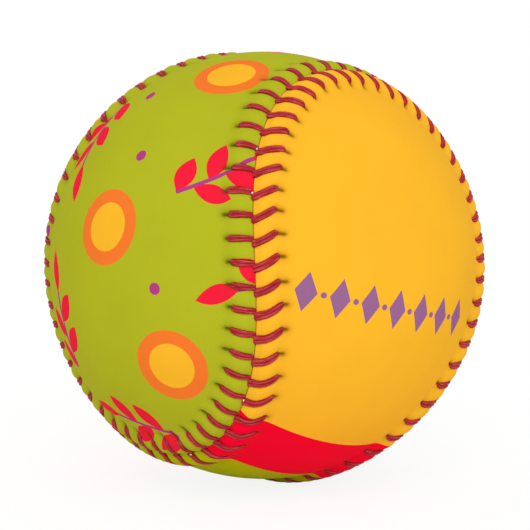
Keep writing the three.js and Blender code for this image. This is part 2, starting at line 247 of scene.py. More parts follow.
def ridge_rise(side, distance):
    climb = EDGE_RISE + (CREST_RISE[side] - EDGE_RISE) * ease(distance, 0, CREST_START)
    return climb * (1 - ease(distance, CREST_END, RIDGE_FOOT))


def bell(offset, width):
    return np.exp(-(offset / width) ** 2)


def rising(distance, place, starts):
    return ease(distance, place + starts[0], place + starts[1])


def fading(distance, place, fades):
    return 1 - ease(distance, place + fades[0], place + fades[1])


def furrow_depth(distance, hole):
    return FURROW * ease(distance, 0, FURROW_DEEP_BY) * fading(distance, hole, FURROW_FADES)


# Shares from 0 to 1 of the pit, the crease and the fold, by the offset from the leg's line and
# the distance from the seam
def pit_share(offset, distance, hole):
    return bell(offset, PIT_SIZE) * bell(distance - hole, PIT_SIZE)


def crease_share(offset, distance, hole, end):
    runs = rising(distance, hole, CREASE_STARTS) * fading(distance, end, CREASE_FADES)
    return runs * bell(offset, CREASE_WIDTH)


def fold_share(offset, distance, hole, end):
    runs = rising(distance, hole, FOLD_STARTS) * fading(distance, end, FOLD_FADES)
    return runs * bell(offset, FOLD_WIDTH)


def pillow_rise(offset, distance):
    from_leg = np.clip(offset / PITCH, -0.5, 0.5)
    between = np.abs(np.sin(math.pi * from_leg)) ** PILLOW_POWER
    grown = PILLOW_AT_SEAM + (1 - PILLOW_AT_SEAM) * ease(distance, 0, CREST_START)
    return PILLOW * between * grown * (1 - ease(distance, PILLOW_START, PILLOW_FOOT))


def edge_drop(distance):
    roll = np.clip(1 - distance / EDGE_ROLL, 0, 1)
    return EDGE_DROP * (1 - np.sqrt(1 - roll ** 2))


# The leather's height, and the painted shade of its pit, crease and fold, at an offset from a leg's
# line and a distance from the seam
def leather_form(side, offset, distance, hole, end):
    pit = pit_share(offset, distance, hole)
    crease = crease_share(offset, distance, hole, end)
    fold = fold_share(offset, distance, hole, end)
    rise = ridge_rise(side, distance) + pillow_rise(offset, distance) - edge_drop(distance)
    rise = rise - bell(offset, FURROW_WIDTH) * furrow_depth(distance, hole)
    rise = rise - FOLD_DEPTH * fold - np.maximum(PIT_DEPTH * pit, CREASE_DEPTH * crease)
    # The second value is painted shade: full in the pit and the crease, fainter in the fold beside
    # them
    return rise, np.maximum(np.maximum(pit, crease), FOLD_SHADE * fold)


# Where the columns of a cover's mesh stand on either side of each leg, and its rows from the seam,
# in millimetres: close together at the leg and its crease, at the rolled edge and by the holes
COLUMN_OFFSETS = np.array([0, 0.08, 0.17, 0.29, 0.46, 0.70, 1.02, 1.44])
COLUMNS_PER_STITCH = 2 * len(COLUMN_OFFSETS)
ROW_DISTANCES = np.array([
    0.03, 0.05, 0.09, 0.15, 0.23, 0.34, 0.55, 0.85, 1.2, 1.55, 1.9, 2.3, 2.7, 3.05, 3.35, 3.6,
    3.8, 3.98, 4.16, 4.34, 4.52, 4.7, 4.9, 5.1, 5.3, 5.55, 5.85, 6.2, 6.6, 7.1, 7.8, 8.8, 10.0,
    LINE_FADES,
])
MIDDLE_ROWS = 16


# The stations of the columns near the seam: the outer skin's stand by COLUMN_OFFSETS round each
# stitch, and the inner skin's few are even
def column_stations(columns, per_stitch):
    if per_stitch != COLUMNS_PER_STITCH:
        return columns / per_stitch
    nearest = np.rint(columns / per_stitch)
    steps = columns - nearest * per_stitch
    ladder = np.concatenate([COLUMN_OFFSETS, [PITCH / 2]])
    return nearest + np.sign(steps) * ladder[np.abs(steps).astype(int)] / PITCH


# One side of a cover from its sewn edge inwards: direction, height and painted shade of its pits,
# creases and folds for each column and row
def cover_side(side, tip, way, columns, per_stitch, distances):
    even = columns / per_stitch
    close = column_stations(columns, per_stitch)
    spread = ease(distances, LINE_HOLDS, LINE_FADES)[None, :]
    stations = tip + way * (close[:, None] * (1 - spread) + even[:, None] * spread)
    nearest = tip + way * np.rint(even)
    offset = (stations - nearest[:, None]) * PITCH
    distance = np.broadcast_to(distances[None, :], stations.shape)
    stations = stations + leg_line(side, stations, distance) / PITCH
    hole = by_stitch(HOLE_PLACE[side], nearest)[:, None]
    end = by_stitch(CREASE_PLACE[side], nearest)[:, None]
    rise, painted_shade = leather_form(side, offset, distance, hole, end)
    return beside_seam(stations, side * distance), rise, painted_shade


# The two sides of a cover meet at the tips of its lobes, and there the least angle keeps the blend
# between them from vanishing
LEAST_ANGLE = 1e-6


# The rows of a cover from one sewn edge across its middle to the other, by columns that run from
# the tip of one lobe to the tip of the other
def cover_rows(side, tip, per_stitch, distances, middle_rows):
    columns = np.arange(STITCHES // 2 * per_stitch + 1)
    near, near_rise, near_shade = cover_side(side, tip, 1, columns, per_stitch, distances)
    far, far_rise, far_shade = cover_side(side, tip, -1, columns, per_stitch, distances)
    start, end = near[:, -1], far[:, -1]
    angle = np.arccos(np.clip(np.sum(start * end, axis=-1), -1, 1))[:, None]
    angle = np.maximum(angle, LEAST_ANGLE)
    middle = []
    for step in range(1, middle_rows):
        share = step / middle_rows
        blend = start * np.sin((1 - share) * angle) + end * np.sin(share * angle)
        middle.append(unit(blend))
    middle = np.stack(middle, axis=1)
    flat = np.zeros(middle.shape[:2])
    directions = np.concatenate([near, middle, far[:, ::-1]], axis=1)
    rise = np.concatenate([near_rise, flat, far_rise[:, ::-1]], axis=1)
    painted_shade = np.concatenate([near_shade, flat, far_shade[:, ::-1]], axis=1)
    return directions, rise, painted_shade


# Lays a fresh grid on rows of places, and returns its corners with their columns and rows
def lay_grid(bm, places):
    columns, rows = places.shape[0] - 1, places.shape[1] - 1
    made = bmesh.ops.create_grid(bm, x_segments=columns, y_segments=rows, size=1, calc_uvs=True)
    corners = []
    for vert in made["verts"]:
        column = round((vert.co.x + 1) / 2 * columns)
        row = round((vert.co.y + 1) / 2 * rows)
        vert.co = places[column, row]
        corners.append((vert, column, row))
    return corners


def open_edges(bm):
    return [edge for edge in bm.edges if edge.is_boundary]


def new_object(name, bm):
    mesh = bpy.data.meshes.new(name)
    bm.to_mesh(mesh)
    bm.free()
    mesh.shade_smooth()
    made = bpy.data.objects.new(name, mesh)
    bpy.context.scene.collection.objects.link(made)
    return made


# Corners of a cover nearer than this become one
COVER_MERGE = 0.001 * MM


# The outer skin of a cover, with its sewn ridge, and the painted shade of its pits, creases and
# folds kept on its corners
def lay_outer_skin(bm, side, tip):
    shade_layer = bm.verts.layers.float.new("crease")
    bm.loops.layers.uv.new("print")
    directions, rise, painted_shade = cover_rows(
        side, tip, COLUMNS_PER_STITCH, ROW_DISTANCES, MIDDLE_ROWS
    )
    places = directions * ((COVER_RADIUS + rise) * MM)[..., None]
    for vert, column, row in lay_grid(bm, places):
        vert[shade_layer] = painted_shade[column, row]
    bmesh.ops.remove_doubles(bm, verts=bm.verts, dist=COVER_MERGE)


# The inner skin's columns and rows, how high it is lifted, and how far from the seam it comes down
INNER_COLUMNS_PER_STITCH = 4
INNER_DISTANCES = np.array([0.2, 2.4, 5.0, 8.0, LINE_FADES])
INNER_MIDDLE_ROWS = 10
INNER_LIFT = 0.4
INNER_LIFT_HOLDS = 4.8
INNER_LIFT_FADES = 7.4


# The inner skin, plain and of fewer columns, which is lifted off the winding near the seam to
# leave room for the tucked thread
def lay_inner_skin(bm, side, tip):
    directions = cover_rows(
        side, tip, INNER_COLUMNS_PER_STITCH, INNER_DISTANCES, INNER_MIDDLE_ROWS
    )[0]
    lift = INNER_LIFT * (1 - ease(INNER_DISTANCES, INNER_LIFT_HOLDS, INNER_LIFT_FADES))
    lift = np.concatenate([lift, np.zeros(INNER_MIDDLE_ROWS - 1), lift[::-1]])
    places = directions * ((COVER_INNER + lift) * MM)[None, :, None]
    corners = [vert for vert, column, row in lay_grid(bm, places)]
    bmesh.ops.remove_doubles(bm, verts=corners, dist=COVER_MERGE)


# A cover: its two skins, and the cut edge between them
def make_cover(name, side, tip):
    bm = bmesh.new()
    lay_outer_skin(bm, side, tip)
    lay_inner_skin(bm, side, tip)
    bmesh.ops.bridge_loops(bm, edges=open_edges(bm))
    bmesh.ops.recalc_face_normals(bm, faces=bm.faces)
    return new_object(name, bm)


# Motifs of the print: each face of a cover takes its place from the nearest motif, in millimetres.
# In the map a motif's kind shifts its places aside by so many steps, and a face further from
# every motif than the print goes is plain.
TILE_STEP = 100
PRINT_GOES = 3.0
PLAIN = 0


class Motif:
    def __init__(self, kind, direction, heading, half_length, reach):
        self.kind = kind
        self.half_length = half_length
        self.reach = reach
        self.out = unit(np.array(direction, dtype=float))
        heading = np.array(heading, dtype=float)
        self.ahead = unit(heading - self.out * (heading @ self.out))
        self.aside = np.cross(self.out, self.ahead)


def lay_print(cover, motifs):
    mesh = cover.data
    corners = np.empty(len(mesh.loops), dtype=np.int32)
    mesh.loops.foreach_get("vertex_index", corners)
    points = np.empty(len(mesh.vertices) * 3, dtype=np.float32)
    mesh.vertices.foreach_get("co", points)
    points = points.reshape(-1, 3)[corners] / MM
    totals = np.empty(len(mesh.polygons), dtype=np.int32)
    mesh.polygons.foreach_get("loop_total", totals)
    centres = np.empty(len(mesh.polygons) * 3, dtype=np.float32)
    mesh.polygons.foreach_get("center", centres)
    centres = centres.reshape(-1, 3) / MM
    room = []
    for motif in motifs:
        from_middle = centres - motif.out * COVER_RADIUS
        ahead = from_middle @ motif.ahead
        ahead = ahead - np.clip(ahead, -motif.half_length, motif.half_length)
        aside = from_middle @ motif.aside
        down = from_middle @ motif.out
        room.append(np.sqrt(ahead ** 2 + aside ** 2 + down ** 2) - motif.reach)
    room = np.array(room)
    nearest = np.repeat(room.argmin(axis=0), totals)
    plain = np.repeat(room.min(axis=0) > PRINT_GOES, totals)
    ahead = np.array([motif.ahead for motif in motifs])[nearest]
    aside = np.array([motif.aside for motif in motifs])[nearest]
    kinds = np.array([motif.kind for motif in motifs])[nearest]
    kinds[plain] = PLAIN
    across = np.sum(points * ahead, axis=1)
    up = np.sum(points * aside, axis=1)
    places = np.stack([across + TILE_STEP * kinds, up], axis=1)
    mesh.uv_layers["print"].data.foreach_set("uv", places.astype(np.float32).ravel())


# The lacing

THREAD_THICKNESS = 0.6

# Corners of a strand nearer than this become one
THREAD_MERGE = 0.0005 * MM

# Rows of a leg from its hole to the seam: the share of the way from the seam to the hole, the
# width, and the lift of the thread's middle over the leather
LEG_ROWS = {
    YELLOW_SIDE: [
        (1.05, 0.56, -0.38), (1.02, 0.84, -0.12), (0.97, 1.02, 0.12), (0.88, 1.12, 0.25),
        (0.74, 1.15, 0.30), (0.57, 1.14, 0.31), (0.38, 1.15, 0.31), (0.20, 1.19, 0.32),
        (0.08, 1.24, 0.33), (-0.02, 1.24, 0.30), (-0.06, 1.12, 0.06),
    ],
    GREEN_SIDE: [
        (1.05, 0.56, -0.38), (1.02, 0.84, -0.12), (0.97, 1.02, 0.12), (0.88, 1.11, 0.23),
        (0.74, 1.13, 0.28), (0.57, 1.08, 0.28), (0.38, 1.00, 0.27), (0.20, 0.92, 0.22),
        (0.09, 0.88, 0.10), (0.01, 0.80, -0.16),
    ],
}

# The rows at the seam are cut along it, and the others square to the thread
SQUARE_SHARE = 0.15

# The thread's section: places round it as shares of half its width and thickness. Its two plies
# lie side by side with a groove between them.
SECTION = [
    (-1.0, 0.0), (-0.84, 0.66), (-0.5, 1.0), (-0.17, 0.80), (0.0, 0.58), (0.17, 0.80),
    (0.5, 1.0), (0.84, 0.66), (1.0, 0.0), (0.6, -0.8), (0.0, -0.95), (-0.6, -0.8),
]


# How far a leg's ring is turned about the thread, so that its grooved face is outermost, and the
# shares of the way under the cover at which the thread turns over from one leg to the next
RING_TURN = {YELLOW_SIDE: math.pi, GREEN_SIDE: 0.0}
TURN_STEPS = (0.2, 0.4, 0.6, 0.8)

# Width and thickness of the thread under the cover and in its hole, and its radius in the hole
TUCKED_SIZE = (0.5, 0.45)
IN_HOLE_SIZE = (0.45, 0.45)
IN_HOLE_RADIUS = 36.5

# The dive at the seam: radius, width and thickness of the thread, and how far across the seam it
# has come when it is under the other cover
DIVE_ROWS = [(37.0, 0.7, 0.4), (36.4, 0.5, 0.4)]
DIVE_MOVES_ON = 0.1


# One ring of the thread: where it stands, its size, its turn about the thread, and whether it is
# square to the thread or cut along the seam
class ThreadRow:
    def __init__(self, station, distance, radius, width, thickness, turn, square=True):
        self.station = station
        self.distance = distance
        self.radius = radius
        self.width = width
        self.thickness = thickness
        self.turn = turn
        self.square = square


# A leg over the leather, from its hole to the seam
def leg_rows(side, station):
    rows = []
    hole = HOLE_PLACE[side][station]
    for share, width, lift in LEG_ROWS[side]:
        distance = share * hole
        inward = abs(distance)
        line = float(leg_line(side, np.array(float(station)), np.array(inward)))
        floor = float(ridge_rise(side, inward) - furrow_depth(inward, hole))
        rows.append(ThreadRow(
            station + line / PITCH, side * distance, COVER_RADIUS + floor + lift,
            width * LEG_WIDTH[side][station], THREAD_THICKNESS, RING_TURN[side],
            share > SQUARE_SHARE
        ))
    return rows


# The thread's way under the cover, from where it dived to the next hole
def tucked_rows(dived, hole):
    rows = []
    for share in TURN_STEPS:
        rows.append(ThreadRow(
            dived.station + (hole.station - dived.station) * share,
            dived.distance + (hole.distance - dived.distance) * share,
            TUCKED_RADIUS, *TUCKED_SIZE, dived.turn + (hole.turn - dived.turn) * share
        ))
    return rows


# A whole strand: by turns a leg on one cover and a leg on the other
def strand_rows(first_side):
    rows = []
    for station in range(STITCHES):
        side = first_side if station % 2 == 0 else -first_side
        leg = leg_rows(side, station)
        turn = RING_TURN[side]
        hole, dive = leg[0], leg[-1]
        if rows:
            rows.extend(tucked_rows(rows[-1], hole))
        for radius, size in ((TUCKED_RADIUS, TUCKED_SIZE), (IN_HOLE_RADIUS, IN_HOLE_SIZE)):
            rows.append(ThreadRow(hole.station, hole.distance, radius, *size, turn))
        rows.extend(leg)
        for radius, width, thickness in DIVE_ROWS:
            rows.append(ThreadRow(dive.station, 0.0, radius, width, thickness, turn, False))
        rows.append(ThreadRow(
            dive.station, -side * DIVE_MOVES_ON, TUCKED_RADIUS, *TUCKED_SIZE, turn, False
        ))
    return rows


# Tufts of pale fibre that the dive has pulled up: the stitches that have one, its half sizes, and
# its place by the tip of the V, along the seam, across it and out from the smooth ball. In the
# thread's map a tuft has a row of its own.
TUFTS = {YELLOW_SIDE: [5, 36, 47, 63, 96], GREEN_SIDE: [17, 38, 52, 78]}
TUFT_SIZE = (0.26, 0.17, 0.14)
TUFT_ALONG = -0.42
TUFT_ACROSS = -0.12
TUFT_RISE = 0.85
TUFT_ROW = 2.0


def add_tufts(bm, uv_layer, stations):
    for station in stations:
        beside = np.array([station + TUFT_ALONG / PITCH])
        place = beside_seam(beside, np.array([TUFT_ACROSS]))[0]
        along = seam_frame(np.array([float(station)]))[1][0]
        turn = Vector(along).to_track_quat("X", "Z").to_matrix().to_4x4()
        size = Matrix.Diagonal((*(length * MM for length in TUFT_SIZE), 1))
        where = Matrix.Translation(Vector(place) * (COVER_RADIUS + TUFT_RISE) * MM)
        made = bmesh.ops.create_icosphere(
            bm, subdivisions=2, radius=1, matrix=where @ turn @ size
        )
        for vert in made["verts"]:
            for corner in vert.link_loops:
                corner[uv_layer].uv = (station / STITCHES, TUFT_ROW)


# The corners of a strand's mesh, by row and by place round the section
def strand_places(rows):
    stations = np.array([row.station for row in rows])
    distances = np.array([row.distance for row in rows])
    radii = np.array([row.radius for row in rows])
    middles = beside_seam(stations, distances) * radii[:, None]
    before = np.concatenate([middles[:1], middles[:-1]])
    after = np.concatenate([middles[1:], middles[-1:]])
    ahead = unit(after - before)
    along = seam_frame(stations)[1]
    square = np.array([row.square for row in rows])[:, None]
    wide = unit(along - square * ahead * np.sum(along * ahead, axis=1, keepdims=True))
    thick = unit(np.cross(wide, ahead))
    turn = np.array([row.turn for row in rows])[:, None]
    broad = wide * np.cos(turn) + thick * np.sin(turn)
    high = thick * np.cos(turn) - wide * np.sin(turn)
    widths = np.array([row.width for row in rows])[:, None] / 2
    depths = np.array([row.thickness for row in rows])[:, None] / 2
    ring = []
    for across, up in SECTION + SECTION[:1]:
        ring.append(middles + broad * widths * across + high * depths * up)
    return np.stack(ring, axis=1) * MM


# A strand is one closed skin round all its rings, with its tufts
def make_strand(name, first_side):
    bm = bmesh.new()
    uv_layer = bm.loops.layers.uv.new("thread")
    lay_grid(bm, strand_places(strand_rows(first_side)))
    bmesh.ops.remove_doubles(bm, verts=bm.verts, dist=THREAD_MERGE)
    bmesh.ops.holes_fill(bm, edges=open_edges(bm), sides=0)
    add_tufts(bm, uv_layer, TUFTS[first_side])
    bmesh.ops.recalc_face_normals(bm, faces=bm.faces)
    return new_object(name, bm)


# Materials

def srgb(hex_text):
    channels = [int(hex_text[i:i + 2], 16) / 255 for i in (1, 3, 5)]
    linear = [c / 12.92 if c <= 0.04045 else ((c + 0.055) / 1.055) ** 2.4 for c in channels]
    return (*linear, 1.0)


# Adds a node with its settings, its constant inputs and its links
def add(tree, kind, inputs=None, **settings):
    made = tree.nodes.new(kind)
    for key, value in settings.items():
        setattr(made, key, value)
    for key, value in (inputs or {}).items():
        if isinstance(value, bpy.types.NodeSocket):
            tree.links.new(value, made.inputs[key])
        else:
            made.inputs[key].default_value = value
    return made


def new_material(name):
    material = bpy.data.materials.new(name)
    material.use_nodes = True
    tree = material.node_tree
    tree.nodes.clear()
    return material, tree


def close_material(tree, surface):
    add(tree, "ShaderNodeOutputMaterial", {"Surface": surface})


def math_of(tree, operation, first, second=0.0):
    return add(tree, "ShaderNodeMath", {0: first, 1: second}, operation=operation).outputs[0]


def painted(tree, base, mask, colour):
    inputs = {"Factor": mask, 6: base, 7: colour}
    return add(tree, "ShaderNodeMix", inputs, data_type="RGBA").outputs[2]


# Most of a noise lies between these two values
NOISE_LOW = 0.3
NOISE_HIGH = 0.7


# A colour made a little darker and paler by a noise
def toned(tree, colour, noise, darkest, palest):
    tone = add(tree, "ShaderNodeMapRange", {
        "Value": noise.outputs["Fac"], "From Min": NOISE_LOW, "From Max": NOISE_HIGH,
        "To Min": darkest, "To Max": palest,
    })
    inputs = {"Factor": 1.0, 6: colour, 7: tone.outputs["Result"]}
    return add(
        tree, "ShaderNodeMix", inputs, data_type="RGBA", blend_type="MULTIPLY"
    ).outputs[2]


# The surface of a material, with a fine relief that is so many millimetres deep
def finish_surface(tree, colour, roughness, specular, height, strength, relief_mm):
    bump = add(tree, "ShaderNodeBump", {
        "Height": height, "Strength": strength, "Distance": relief_mm * MM,
    })
    shader = add(tree, "ShaderNodeBsdfPrincipled", {
        "Base Color": colour, "Roughness": roughness, "Specular IOR Level": specular,
        "Normal": bump.outputs["Normal"],
    })
    close_material(tree, shader.outputs["BSDF"])


# Colours of the leather and its print, the colours of the shade painted in its pits, creases and
# folds, and how strongly that shade is painted
GREEN = srgb("#B5B923")
YELLOW = srgb("#FFBC2C")
RED = srgb("#F6203C")
DEEP_RED = srgb("#FF0630")
DEEP_GREEN = srgb("#B8BE06")
ORANGE = srgb("#FA7C2E")
PURPLE = srgb("#B73D84")
SOFT_PURPLE = srgb("#9C6895")
GREEN_FOLD_SHADE = srgb("#3F4600")
YELLOW_FOLD_SHADE = srgb("#5A4300")
FOLD_SHADE_PAINT = 0.84

# Kinds of motif, and how near to its number a kind read from the map has to be
SPRIG = 1
DISC = 2
DOT = 3
DIAMONDS = 4
KIND_WITHIN = 0.4

# The sprig, in millimetres from its middle: its bend, which rises with the square of the way
# along, its stem, two pairs of leaves, the two of a pair a stagger apart, and one leaf at its end
SPRIG_BEND = 0.012
STEM_HALF_WIDTH = 0.36
STEM_START = -9.0
STEM_END = 4.8
LEAF_ROOT = -7.6
LEAF_STEP = 5.6
LEAF_STAGGER = 1.4
LEAF_MIDDLE = 3.6
LEAF_SIZE = (3.4, 1.65)
END_LEAF_PLACE = 8.0
END_LEAF_SIZE = (3.6, 1.6)

# The ringed disc and the dot
DISC_RADIUS = 6.4
DISC_HEART = 4.1
DOT_RADIUS = 1.0

# The row of diamonds with a dot between each two: half a step, half sizes and half the row
DIAMOND_HALF_STEP = 2.75
DIAMOND_HALF_WIDTH = 1.75
DIAMOND_HALF_HEIGHT = 3.3
DIAMOND_DOT = 0.5
DIAMOND_HALF_ROW = 18.2


# Places on the print: x and y in millimetres from the nearest motif, and the motif's kind
def print_places(tree):
    uv = add(tree, "ShaderNodeUVMap", uv_map="print").outputs["UV"]
    parts = add(tree, "ShaderNodeSeparateXYZ", {"Vector": uv})
    kind = math_of(tree, "ROUND", math_of(tree, "DIVIDE", parts.outputs["X"], TILE_STEP))
    x = math_of(tree, "SUBTRACT", parts.outputs["X"], math_of(tree, "MULTIPLY", kind, TILE_STEP))
    return x, parts.outputs["Y"], kind


def of_kind(tree, kind, wanted, mask):
    same = math_of(tree, "COMPARE", kind, float(wanted))
    same.node.inputs[2].default_value = KIND_WITHIN
    return math_of(tree, "MULTIPLY", same, mask)


def below(tree, value, limit):
    return math_of(tree, "LESS_THAN", value, limit)


def all_of(tree, *masks):
    result = masks[0]
    for mask in masks[1:]:
        result = math_of(tree, "MULTIPLY", result, mask)
    return result


def length_of(tree, x, y):
    place = add(tree, "ShaderNodeCombineXYZ", {"X": x, "Y": y}).outputs["Vector"]
    return add(tree, "ShaderNodeVectorMath", {0: place}, operation="LENGTH").outputs["Value"]


# A pointed leaf: along and across are places from its middle
def leaf(tree, along, across, half_length, half_width):
    share = math_of(tree, "DIVIDE", along, half_length)
    width = math_of(tree, "SUBTRACT", 1.0, math_of(tree, "MULTIPLY", share, share))
    width = math_of(tree, "MULTIPLY", width, half_width)
    return below(tree, math_of(tree, "ABSOLUTE", across), width)


# A leafy sprig: the masks of its bent stem and of its leaves. Each side of the stem is cut into
# cells, and the first two cells of a side hold a leaf that points outwards and forwards.
def sprig_masks(tree, x, y):
    bend = math_of(tree, "MULTIPLY", math_of(tree, "MULTIPLY", x, x), SPRIG_BEND)
    y = math_of(tree, "SUBTRACT", y, bend)
    width = math_of(tree, "ABSOLUTE", y)
    stem = all_of(
        tree, below(tree, width, STEM_HALF_WIDTH), below(tree, x, STEM_END),
        math_of(tree, "GREATER_THAN", x, STEM_START)
    )
    stagger = math_of(tree, "MULTIPLY", math_of(tree, "SIGN", y), LEAF_STAGGER)
    from_root = math_of(tree, "SUBTRACT", math_of(tree, "ADD", x, stagger), LEAF_ROOT)
    cell = math_of(tree, "FLOOR", math_of(tree, "DIVIDE", from_root, LEAF_STEP))
    place = math_of(tree, "SUBTRACT", from_root, math_of(tree, "MULTIPLY", cell, LEAF_STEP))
    along = math_of(tree, "MULTIPLY", math_of(tree, "ADD", place, width), math.sqrt(0.5))
    across = math_of(tree, "MULTIPLY", math_of(tree, "SUBTRACT", place, width), math.sqrt(0.5))
    along = math_of(tree, "SUBTRACT", along, LEAF_MIDDLE)
    first_two = all_of(tree, below(tree, cell, 1.5), math_of(tree, "GREATER_THAN", cell, -0.5))
    leaves = all_of(tree, leaf(tree, along, across, *LEAF_SIZE), first_two)
    last = leaf(tree, math_of(tree, "SUBTRACT", x, END_LEAF_PLACE), y, *END_LEAF_SIZE)
    return stem, math_of(tree, "MAXIMUM", leaves, last)


# A row of diamonds with dots between them, along x
def diamond_row(tree, x, y):
    along = math_of(tree, "ABSOLUTE", x)
    step = math_of(tree, "PINGPONG", along, DIAMOND_HALF_STEP)
    near = math_of(tree, "DIVIDE", step, DIAMOND_HALF_WIDTH)
    high = math_of(tree, "DIVIDE", math_of(tree, "ABSOLUTE", y), DIAMOND_HALF_HEIGHT)
    diamond = below(tree, math_of(tree, "ADD", near, high), 1.0)
    from_dot = length_of(tree, math_of(tree, "SUBTRACT", DIAMOND_HALF_STEP, step), y)
    marks = math_of(tree, "MAXIMUM", diamond, below(tree, from_dot, DIAMOND_DOT))
    return all_of(tree, marks, below(tree, along, DIAMOND_HALF_ROW))


# How many clouds of dye, pores and grains of the leather fit in a metre
CLOUD_SCALE = 90
PORE_SCALE = 1900
GRAIN_SCALE = 700


# Calfskin, drum-dyed and printed: fine pores that only soften the sheen, slight unevenness of the
# dye, and painted shade in the pits, creases and folds where the leather is drawn in at the holes
def leather(tree, colour, shade_colour):
    places = add(tree, "ShaderNodeTexCoord").outputs["Object"]
    cloud = add(tree, "ShaderNodeTexNoise", {"Vector": places, "Scale": CLOUD_SCALE, "Detail": 3})
    colour = toned(tree, colour, cloud, 0.965, 1.02)
    # Painted shade of the pits, creases and folds, kept on the cover's corners
    fold = add(tree, "ShaderNodeAttribute", attribute_name="crease").outputs["Fac"]
    fold = math_of(tree, "MULTIPLY", fold, FOLD_SHADE_PAINT)
    colour = painted(tree, colour, fold, shade_colour)
    pores = add(tree, "ShaderNodeTexVoronoi", {"Vector": places, "Scale": PORE_SCALE})
    grain = add(tree, "ShaderNodeTexNoise", {"Vector": places, "Scale": GRAIN_SCALE, "Detail": 2})
    height = math_of(tree, "ADD", pores.outputs["Distance"], grain.outputs["Fac"])
    finish_surface(
        tree, colour, roughness=0.75, specular=0.02, height=height, strength=0.12, relief_mm=0.05
    )


def green_leather():
    material, tree = new_material("printed_leather_green")
    x, y, kind = print_places(tree)
    stem, leaves = sprig_masks(tree, x, y)
    radius = length_of(tree, x, y)
    colour = GREEN
    for wanted, mask, ink in (
        (SPRIG, leaves, RED),
        (SPRIG, stem, PURPLE),
        (DISC, below(tree, radius, DISC_RADIUS), ORANGE),
        (DISC, below(tree, radius, DISC_HEART), YELLOW),
        (DOT, below(tree, radius, DOT_RADIUS), PURPLE),
    ):
        colour = painted(tree, colour, of_kind(tree, kind, wanted, mask), ink)
    leather(tree, colour, GREEN_FOLD_SHADE)
    return material


# Where the yellow cover's printed bands lie: the places, from -1 to 1, at which yellow turns red
# and red turns green, along a direction given by its shares of the way to a lobe and of the way to
# the neck. Either lobe counts the same, so the two are alike.
RED_EDGE = -0.165
GREEN_EDGE = -0.495
BAND_WAY = (0.611, -0.7915)


def yellow_leather():
    material, tree = new_material("printed_leather_yellow")
    places = add(tree, "ShaderNodeTexCoord").outputs["Object"]
    way = add(tree, "ShaderNodeVectorMath", {0: places}, operation="NORMALIZE").outputs[0]
    parts = []
    for direction in cover_ways(YELLOW_SIDE)[:2]:
        inputs = {0: way, 1: tuple(direction)}
        made = add(tree, "ShaderNodeVectorMath", inputs, operation="DOT_PRODUCT")
        parts.append(made.outputs["Value"])
    lobe = math_of(tree, "MULTIPLY", math_of(tree, "ABSOLUTE", parts[0]), BAND_WAY[0])
    place = math_of(tree, "ADD", lobe, math_of(tree, "MULTIPLY", parts[1], BAND_WAY[1]))
    colour = painted(tree, YELLOW, below(tree, place, RED_EDGE), DEEP_RED)
    colour = painted(tree, colour, below(tree, place, GREEN_EDGE), DEEP_GREEN)
    x, y, kind = print_places(tree)
    mask = of_kind(tree, kind, DIAMONDS, diamond_row(tree, x, y))
    colour = painted(tree, colour, mask, SOFT_PURPLE)
    leather(tree, colour, YELLOW_FOLD_SHADE)
    return material


# How many streaks of fibre and how many changes of tone a strand has along it and round it, how
# often the painted shade of its grooves and rims and the painted light of its plies' crowns come
# round it, and how much the streaks and that painted light and shade count in its colour
FIBRE_SCALE = (620, 17, 1)
TONE_SCALE = (75, 0.5, 1)
PLIES_ROUND = 3
STREAK_SHARE = 1.3
PLY_LIGHT_AND_SHADE_SHARE = 0.22

# The thread's reds from dark to pale, chosen by its streaks of fibre with the painted shade of its
# grooves and rims and the painted light of its plies' crowns, and a tuft's white
THREAD_REDS = [(0.50, "#720A0E"), (0.78, "#A91C26"), (1.0, "#CE5058")]
TUFT_WHITE = srgb("#F1E8DC")


# Waxed cotton thread pressed flat: two plies with a groove between them, painted shade in the
# groove and at the rims and painted light on the plies' crowns, pale streaks of fibre along its
# length, and no two stitches quite the same red
def waxed_thread():
    material, tree = new_material("waxed_cotton_thread")
    uv = add(tree, "ShaderNodeUVMap", uv_map="thread").outputs["UV"]
    stretch = add(tree, "ShaderNodeMapping", {"Vector": uv, "Scale": FIBRE_SCALE})
    fibres = add(tree, "ShaderNodeTexNoise", {
        "Vector": stretch.outputs["Vector"], "Scale": 1.0, "Detail": 3, "Roughness": 0.6,
    })
    parts = add(tree, "ShaderNodeSeparateXYZ", {"Vector": uv})
    # Painted light and shade round the section: dark at the groove and the rims, pale on the plies'
    # crowns and underneath
    ply_light_and_shade = math_of(tree, "MULTIPLY", parts.outputs["Y"], math.pi * PLIES_ROUND)
    ply_light_and_shade = math_of(tree, "ABSOLUTE", math_of(tree, "SINE", ply_light_and_shade))
    streaks = math_of(tree, "MULTIPLY", fibres.outputs["Fac"], STREAK_SHARE)
    ply_light_and_shade = math_of(tree, "MULTIPLY", ply_light_and_shade, PLY_LIGHT_AND_SHADE_SHARE)
    ramp = add(tree, "ShaderNodeValToRGB", {"Fac": math_of(tree, "ADD", streaks, ply_light_and_shade)})
    stops = ramp.color_ramp.elements
    stops.remove(stops[0])
    first_place, first_red = THREAD_REDS[0]
    stops[0].position = first_place
    stops[0].color = srgb(first_red)
    for place, red in THREAD_REDS[1:]:
        stops.new(place).color = srgb(red)
    spread = add(tree, "ShaderNodeMapping", {"Vector": uv, "Scale": TONE_SCALE})
    batch = add(tree, "ShaderNodeTexNoise", {"Vector": spread.outputs["Vector"], "Scale": 1.0})
    colour = toned(tree, ramp.outputs["Color"], batch, 0.86, 1.1)
    tuft = math_of(tree, "GREATER_THAN", parts.outputs["Y"], TUFT_ROW - 0.5)
    colour = painted(tree, colour, tuft, TUFT_WHITE)
    finish_surface(
        tree, colour, roughness=0.55, specular=0.12, height=fibres.outputs["Fac"],
        strength=0.5, relief_mm=0.1
    )
    return material


